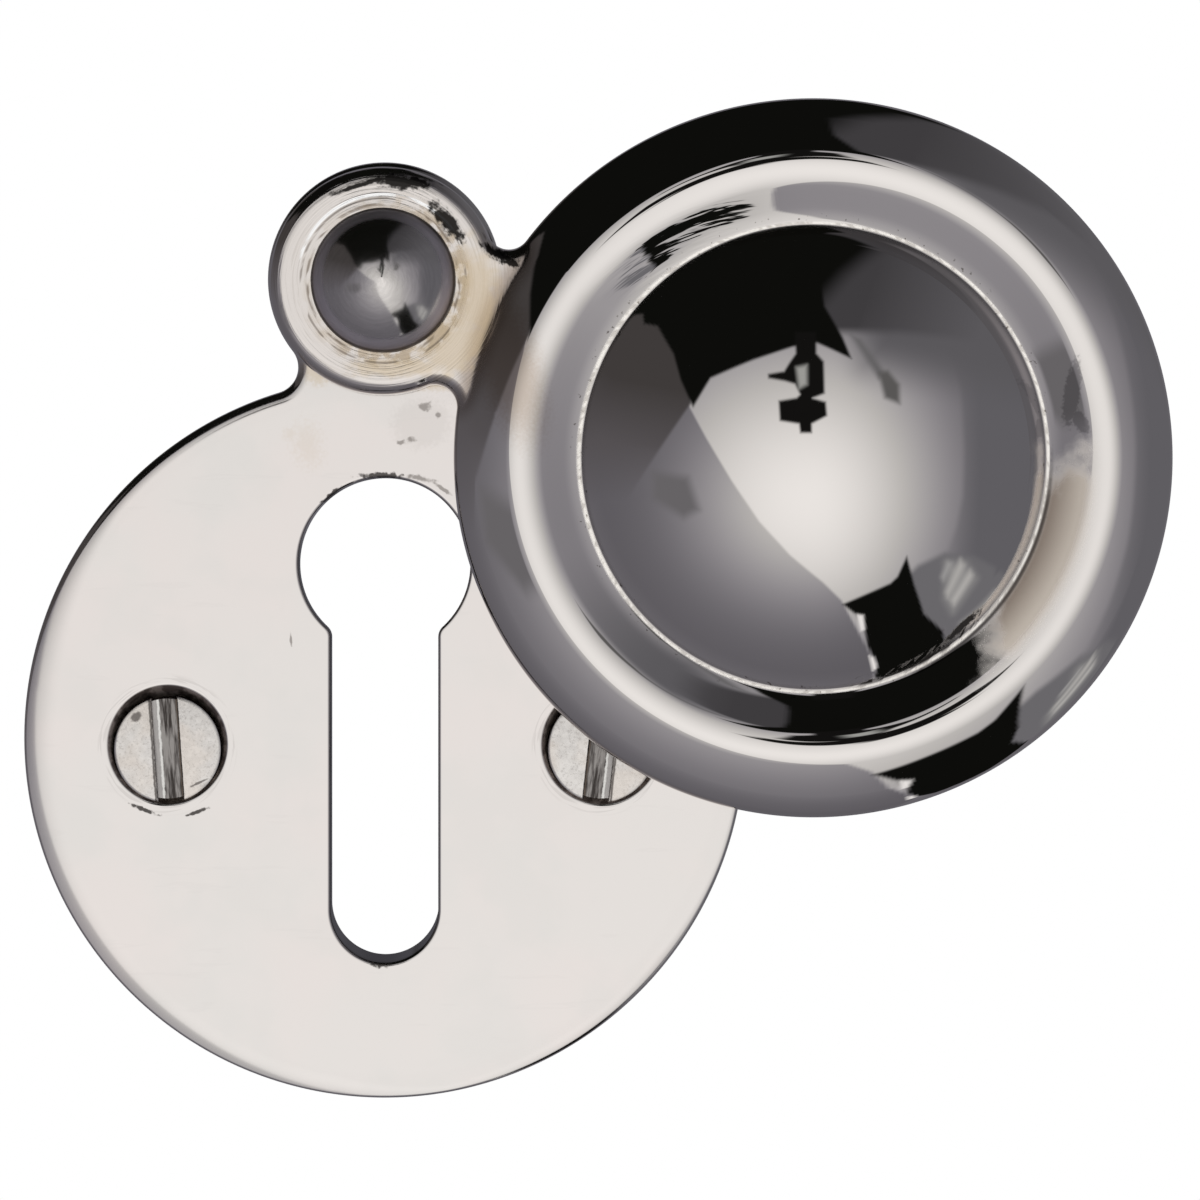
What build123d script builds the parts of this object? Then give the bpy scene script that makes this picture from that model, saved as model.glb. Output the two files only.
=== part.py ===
import math
import os

from build123d import *

# A round escutcheon for a door lock, with a swinging cover, as it stands on the door.
# Every size is in millimetres. The pieces are first laid out on their backs, as seen from the
# front of the door: x to the right, y up the door and z out of it, from the door's face.
# The layout's centre is midway between the axes of the two screws.

# Backplate
plate_radius = 16.5
plate_thick = 2.2
plate_edge_round = 0.4
plate_rise = 0.35
lug_radius = 5.35
lug_overlap = 0.89
neck_round = 1.2

# Keyhole in the backplate
key_radius = 3.93
key_rise = 7.94
key_slot_width = 4.92
key_slot_drop = 15.45
key_corner_round = 0.65
key_edge_bevel = 0.12
key_foot_bevel = 0.5

# Holes for the screws
screw_spacing = 19.85
sink_radius = 2.73
screw_hole_radius = 1.65

# Screws, which hang a little low in their holes
screw_head_radius = 2.46
screw_neck_radius = 1.15
screw_thread_radius = 1.35
screw_length = 12.7
screw_tip_length = 3.0
screw_drop = 0.2
screw_seat_gap = 0.02
slot_width = 1.15
slot_depth = 0.75
slot_leans = {"left_screw": 4.0, "right_screw": -6.5}

# Cover, with its moulding and the ear that it turns on
cover_inset = 0.12
cover_swing = 67.6
closed_overhang = 0.35
ear_inset = 0.15
ear_thick = 2.0
ear_neck_round = 1.0
cover_edge_round = 0.7
cover_gap = 0.08
crease_round = 0.22
dome_rise = 4.4
dome_wall = 1.9

# Moulding round the dome: arcs that follow each other from its crest, out to the rim and in to
# the crease, with the slopes in degrees at which each one hands over to the next
outer_crest_radius = 1.6
outer_crest_slope = 23
outer_flank_radius = 13.0
outer_flank_slope = 30
outer_shoulder_radius = 5.0
outer_shoulder_slope = 40
inner_crest_radius = 2.3
inner_flank_slope = 27
inner_flank_length = 1.1
inner_foot_radius = 5.8
crease_slope = 19

# Pivot pin, a rivet with a domed head, spread at its back
pivot_below_lug = 0.15
pin_radius = 1.5
pin_running_gap = 0.05
pin_seat_gap = 0.01
pin_head_radius = 3.3
pin_head_lift = 0.06
pin_dome_tip_slope = 10
pin_dome_edge_slope = 46
pin_rim_radius = 1.2
pin_tail_radius = 2.2
pin_recess_radius = 3.9
pin_recess_depth = 0.12

# Places and fits that follow from the sizes above
screw_sunk = sink_radius - screw_head_radius - screw_drop - screw_seat_gap
head_height = plate_thick - screw_sunk
hole_y = screw_drop
plate_y = hole_y + plate_rise
lug_y = plate_y + plate_radius + lug_radius - lug_overlap
pivot_y = lug_y - pivot_below_lug
key_y = plate_y + key_rise
cover_arm = pivot_y - plate_y + closed_overhang
cover_radius = plate_radius - cover_inset
ear_radius = lug_radius - ear_inset
cover_base = plate_thick + cover_gap
ear_top = cover_base + ear_thick

# How far a cut runs past the face that it opens, and the slope of an upright wall
past = 1.0
upright = 90


def outline(lower_radius, lower_y, upper_radius, upper_y, corner_round):
    """A disc and a smaller one above it, with the two notches between them rounded."""
    lower = Pos(0, lower_y) * Circle(lower_radius)
    upper = Pos(0, upper_y) * Circle(upper_radius)
    shape = lower + upper
    return fillet(shape.vertices(), corner_round)


def front_face(piece):
    """The flat face of a plate that looks out of the door."""
    return piece.faces().sort_by(Axis.Z)[-1]


def round_front_edge(piece, radius):
    """Rounds the outer edge of a plate's front face."""
    return fillet(front_face(piece).outer_wire().edges(), radius)


def cone(low_radius, high_radius, low_z, high_z):
    """A cone, or a piece of one, on the z axis."""
    middle = (low_z + high_z) / 2
    return Pos(0, 0, middle) * Cone(low_radius, high_radius, high_z - low_z)


def rod(radius, low_z, high_z):
    """A round bar on the z axis."""
    middle = (low_z + high_z) / 2
    return Pos(0, 0, middle) * Cylinder(radius, high_z - low_z)


def spin(profile):
    """Turns a half section, drawn with its axis upright, about the z axis."""
    return revolve(Plane.XZ * profile, Axis.Z)


def keyhole_cut():
    """The keyhole, with its foot sloped towards the front and its front edge eased."""
    round_part = Circle(key_radius)
    slot_part = Pos(0, -key_slot_drop / 2) * Rectangle(key_slot_width, key_slot_drop)
    shape = round_part + slot_part
    corners = shape.vertices().sort_by(Axis.Y)[2:4]
    shape = fillet(corners, key_corner_round)
    shape = shape + Pos(0, -key_slot_drop) * Circle(key_slot_width / 2)
    through = extrude(Pos(0, 0, -past) * shape, plate_thick + 2 * past)
    lean = math.degrees(math.atan(key_foot_bevel / plate_thick))
    foot = Rot(lean, 0, 0) * rod(key_slot_width / 2, -past, plate_thick + past)
    return Pos(0, key_y) * (through + Pos(0, -key_slot_drop) * foot)


def screw_places():
    """Each screw's name with the x of its hole."""
    return {"left_screw": -screw_spacing / 2, "right_screw": screw_spacing / 2}


def backplate():
    """The flat plate with its lug, keyhole, two sunk holes and the pin's hole."""
    plate = extrude(outline(plate_radius, plate_y, lug_radius, lug_y, neck_round), plate_thick)
    plate = round_front_edge(plate, plate_edge_round)
    plate = plate - keyhole_cut()
    plate = chamfer(front_face(plate).inner_wires()[0].edges(), key_edge_bevel)
    sink = cone(screw_hole_radius, sink_radius + past, plate_thick - sink_radius + screw_hole_radius,
                plate_thick + past)
    for x in screw_places().values():
        plate = plate - Pos(x, hole_y) * (sink + rod(screw_hole_radius, -past, plate_thick))
    tail_height = pin_tail_radius - pin_radius
    tail = cone(pin_tail_radius + pin_seat_gap + past, pin_radius + pin_seat_gap, -past, tail_height)
    plate = plate - Pos(0, pivot_y) * (tail + rod(pin_radius + pin_seat_gap, 0, plate_thick + past))
    return plate


def screw(lean):
    """A countersunk screw with a straight slot, its head's face at z = 0. Its thread starts where
    the door does, below a thinner neck."""
    neck_z = screw_neck_radius - screw_head_radius
    tip_z = -screw_length
    body = cone(screw_neck_radius, screw_head_radius, neck_z, 0)
    body = body + rod(screw_neck_radius, -head_height, neck_z)
    body = body + rod(screw_thread_radius, tip_z + screw_tip_length, -head_height)
    body = body + cone(0, screw_thread_radius, tip_z, tip_z + screw_tip_length)
    slot = Pos(0, 0, past - slot_depth) * Box(slot_width, 4 * screw_head_radius, 2 * past)
    return Rot(0, 0, lean) * (body - slot)


def place_screw(name):
    """A screw in its hole, low in it and resting on the slope of the sink."""
    return Pos(screw_places()[name], 0, head_height) * screw(slot_leans[name])


def arc_run(radius, start, end):
    """How far an arc between two slopes goes sideways and downwards."""
    across = radius * abs(math.sin(math.radians(end)) - math.sin(math.radians(start)))
    down = radius * abs(math.cos(math.radians(start)) - math.cos(math.radians(end)))
    return across, down


def cover_section():
    """Half of the cover's section, with the height of the dome's centre and its radius."""
    outer = [
        (outer_crest_radius, 0, outer_crest_slope),
        (outer_flank_radius, outer_crest_slope, outer_flank_slope),
        (outer_shoulder_radius, outer_flank_slope, outer_shoulder_slope),
        (cover_edge_round, outer_shoulder_slope, upright),
    ]
    crest_x = cover_radius - sum(arc_run(*arc)[0] for arc in outer)
    crest_z = ear_thick - cover_edge_round + sum(arc_run(*arc)[1] for arc in outer)
    with BuildSketch() as section:
        with BuildLine():
            step = JernArc((crest_x, crest_z), (1, 0), outer_crest_radius, -outer_crest_slope)
            for radius, start, end in outer[1:]:
                step = JernArc(step @ 1, step % 1, radius, start - end)
            Polyline(step @ 1, (cover_radius, 0), (0, 0))
            step = JernArc((crest_x, crest_z), (-1, 0), inner_crest_radius, inner_flank_slope)
            flank = Line(step @ 1, step @ 1 + inner_flank_length * (step % 1))
            foot_turn = crease_slope - inner_flank_slope
            foot = JernArc(flank @ 1, flank % 1, inner_foot_radius, foot_turn)
            crease = foot @ 1
            dome_radius = (crease.X**2 + dome_rise**2) / (2 * dome_rise)
            dome_turn = 2 * math.degrees(math.atan(dome_rise / crease.X))
            apex = Vector(0, crease.Y + dome_rise)
            JernArc(apex, (1, 0), dome_radius, -dome_turn)
            Line(apex, (0, 0))
        make_face()
        fillet(section.vertices().sort_by_distance(crease)[0], crease_round)
    return section.sketch, apex.Y - dome_radius, dome_radius


def cover():
    """The domed cover and its ear, cast in one and hollow at the back, as it hangs when closed."""
    section, dome_centre_z, dome_radius = cover_section()
    blank = extrude(outline(cover_radius, 0, ear_radius, cover_arm, ear_neck_round), ear_thick)
    blank = round_front_edge(blank, cover_edge_round)
    body = blank + spin(section)
    body = body - Pos(0, 0, dome_centre_z) * Sphere(dome_radius - dome_wall)
    bore = rod(pin_radius + pin_running_gap, -past, ear_thick + past)
    recess = rod(pin_recess_radius, ear_thick - pin_recess_depth, ear_thick + past)
    return body - Pos(0, cover_arm) * (bore + recess)


def pivot_pin():
    """The rivet that the cover turns on: domed head, shank and a tail spread into the plate."""
    head_base = ear_top - pin_recess_depth + pin_head_lift
    rim_across, rim_down = arc_run(pin_rim_radius, pin_dome_edge_slope, upright)
    unit_across, unit_down = arc_run(1, pin_dome_tip_slope, pin_dome_edge_slope)
    dome_radius = (pin_head_radius - rim_across) / unit_across
    apex_z = head_base + rim_down + dome_radius * unit_down
    slope = math.radians(pin_dome_tip_slope)
    tail_height = pin_tail_radius - pin_radius
    with BuildSketch() as section:
        with BuildLine():
            apex = Vector(0, apex_z)
            tip = (math.cos(slope), -math.sin(slope))
            dome = JernArc(apex, tip, dome_radius, pin_dome_tip_slope - pin_dome_edge_slope)
            rim = JernArc(dome @ 1, dome % 1, pin_rim_radius, pin_dome_edge_slope - upright)
            Polyline(rim @ 1, (pin_radius, head_base), (pin_radius, tail_height),
                     (pin_tail_radius, 0), (0, 0), apex)
        make_face()
    return spin(section.sketch)


def stand_up(piece):
    """Stands a piece that was laid out on its back up against the door."""
    return Plane.XZ.location * piece


pivot = Pos(0, pivot_y)
swung_cover = pivot * Rot(0, 0, cover_swing) * Pos(0, -cover_arm, cover_base) * cover()
pieces = {
    "backplate": backplate(),
    "cover": swung_cover,
    "pivot_pin": pivot * pivot_pin(),
}
for name in screw_places():
    pieces[name] = place_screw(name)

os.makedirs("parts", exist_ok=True)
for name, piece in pieces.items():
    export_step(stand_up(piece), f"parts/{name}.step")
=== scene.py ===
import bpy
import bmesh
from math import acos, asin, atan, atan2, cos, degrees, dist, hypot, pi, radians, sin, sqrt, tan
import numpy as np
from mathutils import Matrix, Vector
from mathutils.geometry import delaunay_2d_cdt


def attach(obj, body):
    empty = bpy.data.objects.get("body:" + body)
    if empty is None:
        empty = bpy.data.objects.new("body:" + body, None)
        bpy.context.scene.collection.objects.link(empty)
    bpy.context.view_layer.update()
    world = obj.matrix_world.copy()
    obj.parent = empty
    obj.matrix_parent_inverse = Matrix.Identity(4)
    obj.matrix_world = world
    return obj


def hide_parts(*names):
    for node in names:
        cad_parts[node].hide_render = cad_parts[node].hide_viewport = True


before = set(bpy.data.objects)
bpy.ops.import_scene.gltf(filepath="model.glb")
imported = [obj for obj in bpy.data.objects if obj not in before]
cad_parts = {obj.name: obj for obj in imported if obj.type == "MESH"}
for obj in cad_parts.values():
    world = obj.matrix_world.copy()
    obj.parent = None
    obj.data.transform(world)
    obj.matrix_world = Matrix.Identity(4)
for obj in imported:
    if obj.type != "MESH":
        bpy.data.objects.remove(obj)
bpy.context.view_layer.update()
print("frame loaded:", sorted(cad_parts))

# Shapes are drawn as seen from the front of the door, in millimetres: x to the right, y up
# the door, z out of it. standUp turns a place into the frame's metres.
mm = 0.001
tau = 2 * pi
quarter = pi / 2
samePlace = 2e-6  # points nearer than this, in metres, are one


def standUp(x, y, z):
    return (x * mm, -z * mm, y * mm)


def hexColour(text):  # sRGB hex to the linear colour that shaders take
    parts = [int(text[i:i + 2], 16) / 255 for i in (1, 3, 5)]
    linear = [p / 12.92 if p <= 0.04045 else ((p + 0.055) / 1.055) ** 2.4 for p in parts]
    return (*linear, 1.0)


def addNode(tree, kind, links=(), settings=()):  # one node, with its inputs by place or by name
    node = tree.nodes.new(kind)
    for name, value in dict(settings).items():
        setattr(node, name, value)
    for name, value in links.items() if isinstance(links, dict) else enumerate(links):
        if isinstance(value, bpy.types.Node):
            value = value.outputs[0]
        if isinstance(value, bpy.types.NodeSocket):
            tree.links.new(value, node.inputs[name])
        else:
            node.inputs[name].default_value = value
    return node


# kinds of node and settings that the trees below use over and over
maths, vectorMaths, vector = "ShaderNodeMath", "ShaderNodeVectorMath", "ShaderNodeCombineXYZ"
parted, mapped, mapping = "ShaderNodeSeparateXYZ", "ShaderNodeMapRange", "ShaderNodeMapping"
noise, smooth = "ShaderNodeTexNoise", {"interpolation_type": "SMOOTHSTEP"}
times, less, plus, over, most, timesPlus, lengthOf = [{"operation": word} for word in (
    "MULTIPLY", "SUBTRACT", "ADD", "DIVIDE", "MAXIMUM", "MULTIPLY_ADD", "LENGTH")]


def steps(start, end, count):
    return [start + (end - start) * i / count for i in range(count + 1)]


def circle(x, y, radius, z, count):
    angles = [tau * i / count for i in range(count)]
    return [(x + radius * cos(a), y + radius * sin(a), z) for a in angles]


def addPoints(bm, places):
    return [bm.verts.new(standUp(*p)) for p in places]


def addSheet(bm, rows, closed=True):  # rows of points joined by four-sided faces
    grid = [addPoints(bm, row) for row in rows]
    for low, high in zip(grid, grid[1:]):
        count = len(low)
        for i in range(count if closed else count - 1):
            j = (i + 1) % count
            bm.faces.new((low[i], low[j], high[j], high[i]))


def addTip(bm, ring, tip):  # a fan from a ring to one point
    loop, end = addPoints(bm, ring), addPoints(bm, [tip])[0]
    for i in range(len(loop)):
        bm.faces.new((loop[i], loop[(i + 1) % len(loop)], end))


def addFlat(bm, loops):  # a flat face with holes in it
    edges = []
    for loop in loops:
        verts = addPoints(bm, loop)
        edges += [bm.edges.new((verts[i], verts[(i + 1) % len(verts)])) for i in range(len(verts))]
    bmesh.ops.triangle_fill(bm, use_beauty=True, use_dissolve=False, edges=edges)


def addPatch(bm, border, inner, height):  # a free surface inside a closed border
    places = [Vector(p[:2]) for p in border] + [Vector(p) for p in inner]
    ring = [(i, (i + 1) % len(border)) for i in range(len(border))]
    corners, _, faces, origins = delaunay_2d_cdt(places, ring, [], 1, 1e-6)[:4]
    heights = [p[2] for p in border] + [height(*p) for p in inner]
    verts = addPoints(bm, [(p.x, p.y, heights[o[0]]) for p, o in zip(corners, origins)])
    for face in faces:
        bm.faces.new([verts[i] for i in face])


def lathe(bm, section, x, y, count):  # turns a section of (radius, height) about its axis
    rings = [circle(x, y, r, z, count) for r, z in section if r > 0]
    addSheet(bm, rings)
    for end in (0, -1):
        if section[end][0] == 0:
            addTip(bm, rings[end], (x, y, section[end][1]))


def linkObject(name, data):
    made = bpy.data.objects.new(name, data)
    bpy.context.collection.objects.link(made)
    return made


def closeMesh(bm, name):  # merges the borders of the sheets and points the faces outwards
    bmesh.ops.remove_doubles(bm, verts=bm.verts, dist=samePlace)
    bmesh.ops.recalc_face_normals(bm, faces=bm.faces)
    loose = sum(1 for e in bm.edges if not e.is_manifold)
    mesh = bpy.data.meshes.new(name)
    bm.to_mesh(mesh)
    bm.free()
    print(f"{name}: {loose} open edges")
    return mesh


def finishPiece(name, mesh, body, material, nodes, sharpDegrees=32):
    mesh.materials.clear()
    mesh.materials.append(material)
    mesh.shade_smooth()
    mesh.set_sharp_from_angle(angle=radians(sharpDegrees))
    piece = linkObject(name, mesh)
    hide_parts(*nodes)
    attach(piece, body)
    print(f"{name}: {sum(len(p.vertices) - 2 for p in mesh.polygons)} triangles")
    return piece


# The outline that plate and cover share: a disc, a lug above it and a hollow neck round
# between them on each side. Each column stands square to the outline at one point.
def discAndLug(bigRadius, lugRadius, distance, neckRound, counts):
    far, near = bigRadius + neckRound, lugRadius + neckRound
    alpha = acos((far**2 + distance**2 - near**2) / (2 * far * distance))
    beta = acos((near**2 + distance**2 - far**2) / (2 * near * distance))
    neckX, neckY = far * sin(alpha), far * cos(alpha)
    arcs = [
        (0, distance, lugRadius, beta - quarter, 3 * quarter - beta, 1, counts[0]),
        (-neckX, neckY, neckRound, quarter - beta, alpha - quarter, -1, counts[1]),
        (0, 0, bigRadius, quarter + alpha, 5 * quarter - alpha, 1, counts[2]),
        (neckX, neckY, neckRound, 3 * quarter - alpha, quarter + beta, -1, counts[1]),
    ]
    columns = [[], [], [], []]
    for run, (x, y, radius, start, end, sense, count) in zip(columns, arcs):
        for a in steps(start, end, count):
            run.append((x, y, radius, cos(a), sin(a), sense))
    return columns, alpha, beta


def inset(column, depth):  # the column's point, moved into the metal by a depth
    x, y, radius, across, up, sense = column
    reach = radius - sense * depth
    return x + reach * across, y + reach * up


def roundRows(radius, count):  # depth and rise of the steps round a quarter turn, from its far end
    return [(radius * (1 - sin(a)), radius * (1 - cos(a))) for a in steps(0, quarter, count)]


def walkArcs(x, z, side, arcs, perDegree):  # follows arcs of (radius, slope, next slope)
    places = [(x, z)]
    for radius, start, end in arcs:
        count = max(3, int(abs(end - start) * perDegree))
        a = radians(start)
        for slope in steps(start, end, count)[1:]:
            b = radians(slope)
            across = radius * abs(sin(b) - sin(a))
            down = radius * abs(cos(b) - cos(a))
            places.append((x + side * across, z - down))
        x, z = places[-1]
    return places


# ---- backplate

plateSizes = {
    "radius": 16.5, "thick": 2.2, "backRound": 0.08, "centreUp": 0.55,
    "lugRadius": 5.35, "lugDistance": 20.96, "neckRound": 1.2,
    "keyRadius": 3.93, "keyUp": 8.49, "slotHalf": 2.46, "slotDrop": 15.5,
    "keyCorner": 0.65, "keyEdge": 0.16, "footBevel": 0.32,
    "holeUp": 0.2, "holeApart": 19.85, "sinkRadius": 2.73, "holeRadius": 1.65, "sinkEdge": 0.06,
    "pivotUp": 21.36, "pinHole": 1.51, "tailRadius": 2.21,
}


# The front edge was softened by hand on a buffing wheel, so it isn't even. Each row has a direction
# from the plate's middle in degrees, the radius of the edge's round there, and the slope, length
# and soft start of the fall that leads to it.
edgeShapes = [
    (60, 0.3, 18, 0.02, 0.6), (100, 0.5, 22, 0.02, 0.7), (140, 0.48, 21, 0.02, 0.9),
    (156, 0.36, 20, 0.04, 2.4), (172, 0.22, 18.5, 0.1, 3.8), (190, 0.16, 16, 0.22, 3.6),
    (235, 0.15, 15, 0.22, 3.2), (262, 0.14, 14, 0.12, 2.6), (280, 0.15, 11, 0.02, 1.0),
    (296, 0.24, 14, 0.03, 1.6), (322, 0.3, 15, 0.03, 1.4), (340, 0.2, 11, 0.02, 0.8),
    (420, 0.17, 9, 0.02, 0.6),
]


# The rim of a screw hole, outwards and down in lengths of its edge's round.
sinkEdgeShape = [(2, 0), (1, 0), (0.35, 0.2), (-0.7, 0.7), (-3, 3)]


def edgeProfile(x, y):  # places down the edge, as depth from the outline and fall from the face
    toward = degrees(atan2(y, x)) % 360
    toward += 360 if toward < 60 else 0
    ways, *columns = zip(*edgeShapes)
    sharp, slope, length, soft = [float(np.interp(toward, ways, column)) for column in columns]
    a = radians(slope)
    places = [(soft * sin(b), soft * (1 - cos(b))) for b in steps(0, a, 5)]
    across, fall = places[-1][0] + length * cos(a), places[-1][1] + length * sin(a)
    for b in steps(a, quarter, 10):
        places.append((across + sharp * (sin(b) - sin(a)),
                       fall + sharp * (cos(a) - cos(b))))
    return [(places[-1][0] - across, fall) for across, fall in places]


def keyholeLoop(grow, z):  # the keyhole's outline at a height, grown into the metal
    s = plateSizes
    drop = s["footBevel"] * z / s["thick"]
    half, corner = s["slotHalf"] + grow, s["keyCorner"] - grow
    sideX = s["slotHalf"] + s["keyCorner"]
    sideDown = sqrt((s["keyRadius"] + s["keyCorner"]) ** 2 - sideX**2)
    turn = atan2(sideDown, sideX)
    footUp = s["keyUp"] - s["slotDrop"] - drop
    arcs = [
        (0, s["keyUp"], s["keyRadius"] + grow, -turn, pi + turn, 128),
        (-sideX, s["keyUp"] - sideDown, corner, turn, 0, 14),
        (0, footUp, half, pi, tau, 72),
        (sideX, s["keyUp"] - sideDown, corner, pi, pi - turn, 14),
    ]
    loop = []
    for x, y, radius, start, end, count in arcs:
        places = [(x + radius * cos(a), y + radius * sin(a), z) for a in steps(start, end, count)]
        loop += places[1:] if loop and dist(places[0], loop[-1]) < 1e-6 else places
    return loop[:-1]


def makeBackplate(material):
    s = plateSizes
    thick, sink, hole, edge = s["thick"], s["sinkRadius"], s["holeRadius"], s["sinkEdge"]
    runs, _, _ = discAndLug(s["radius"], s["lugRadius"], s["lugDistance"], s["neckRound"], (176, 26, 520))
    columns = [c for run in runs for c in run[:-1]]

    def ring(depths, heights):
        places = [inset(c, depth) for c, depth in zip(columns, depths)]
        return [(x, y + s["centreUp"], z) for (x, y), z in zip(places, heights)]

    bm = bmesh.new()
    rows = [ring([depth] * len(columns), [z] * len(columns)) for depth, z in roundRows(s["backRound"], 3)]
    profiles = [edgeProfile(*inset(c, 0)) for c in columns]
    for places in list(zip(*profiles))[::-1]:
        rows.append(ring([p[0] for p in places], [thick - p[1] for p in places]))
    flatRim, keyRim = 0.04, 0.03  # one more row keeps the face flat beside each edge
    holding = ring([p[0][0] + flatRim for p in profiles], [thick] * len(columns))
    addSheet(bm, rows + [holding])
    keyRows = [keyholeLoop(s["keyEdge"] + keyRim, thick)]
    keyRows += [keyholeLoop(depth, thick - fall) for depth, fall in roundRows(s["keyEdge"], 6)]
    keyRows += [keyholeLoop(0, z) for z in (1.6, 1.0, 0.4, 0.0)]
    addSheet(bm, keyRows)
    frontHoles, backHoles = [keyRows[0]], [keyRows[-1]]
    for x in (-s["holeApart"] / 2, s["holeApart"] / 2):
        section = [(sink + out * edge, thick - down * edge) for out, down in sinkEdgeShape]
        section += [(hole, thick - (sink - hole)), (hole, 0.6), (hole, 0)]
        rings = [circle(x, s["holeUp"], r, z, 112) for r, z in section]
        addSheet(bm, rings)
        frontHoles.append(rings[0])
        backHoles.append(rings[-1])
    bore, tail = s["pinHole"], s["tailRadius"]
    rings = [circle(0, s["pivotUp"], r, z, 64) for r, z in ((bore, thick), (bore, tail - bore), (tail, 0))]
    addSheet(bm, rings)
    addFlat(bm, [holding, rings[0]] + frontHoles)
    addFlat(bm, [rows[0], rings[-1]] + backHoles)
    mesh = closeMesh(bm, "plateMesh")
    return finishPiece("platePiece", mesh, "plate", material, ["backplate"])


# ---- cover

coverSizes = {
    "radius": 16.38, "edgeRound": 0.7, "backRound": 0.1, "base": 2.28,
    "earRadius": 5.2, "earThick": 2.0, "earDistance": 21.16, "neckRound": 1.0,
    "swing": 67.6, "pivotUp": 21.36,
    "outerArcs": [(1.6, 0, 23), (13.0, 23, 30), (5.0, 30, 40), (0.7, 40, 90)],
    "innerCrest": 2.3, "innerSlope": 27, "innerFlank": 1.1, "innerFoot": 5.8,
    "creaseSlope": 19, "creaseRound": 0.22, "creaseAt": 10.63, "domeRise": 4.4, "domeWall": 1.9,
    "boreRadius": 1.55, "recessRadius": 3.9, "recessDepth": 0.12,
    "earFoot": 0.14,  # how unlike in height the ear's flat and the moulding may be and still blend
}


def coverSection():  # rim to crest, crest to apex, and the dome's centre height and radius
    s = coverSizes
    fall = walkArcs(0, 0, 1, s["outerArcs"], 1)[-1]
    crestX = s["radius"] - fall[0]
    crestZ = s["earThick"] - s["edgeRound"] - fall[1]
    outer = walkArcs(crestX, crestZ, 1, s["outerArcs"], 0.6)
    inner = walkArcs(crestX, crestZ, -1, [(s["innerCrest"], 0, s["innerSlope"])], 0.6)
    slope = radians(s["innerSlope"])
    x, z = inner[-1]
    for part in steps(0, s["innerFlank"], 4)[1:]:
        inner.append((x - part * cos(slope), z - part * sin(slope)))
    inner += walkArcs(*inner[-1], -1, [(s["innerFoot"], s["innerSlope"], s["creaseSlope"])], 0.8)[1:]
    creaseX, creaseZ = inner[-1]
    domeRadius = (creaseX**2 + s["domeRise"] ** 2) / (2 * s["domeRise"])
    domeTurn = 2 * atan(s["domeRise"] / creaseX)
    apexZ = creaseZ + s["domeRise"]
    # the small hollow round in the crease, between the foot's slope and the dome's
    fallIn, small = radians(s["creaseSlope"]), s["creaseRound"]
    reach = small * tan((fallIn + domeTurn) / 2)
    startX, startZ = creaseX + reach * cos(fallIn), creaseZ + reach * sin(fallIn)
    while inner[-1][0] < startX:
        inner.pop()
    centreX, centreZ = startX - small * sin(fallIn), startZ + small * cos(fallIn)
    for a in steps(fallIn, -domeTurn, 10):
        inner.append((centreX + small * sin(a), centreZ - small * cos(a)))
    lastTurn = asin(inner[-1][0] / domeRadius)
    for a in steps(lastTurn, 0, 44)[1:]:
        inner.append((domeRadius * sin(a), apexZ - domeRadius * (1 - cos(a))))
    return outer, inner, apexZ - domeRadius, domeRadius


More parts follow.
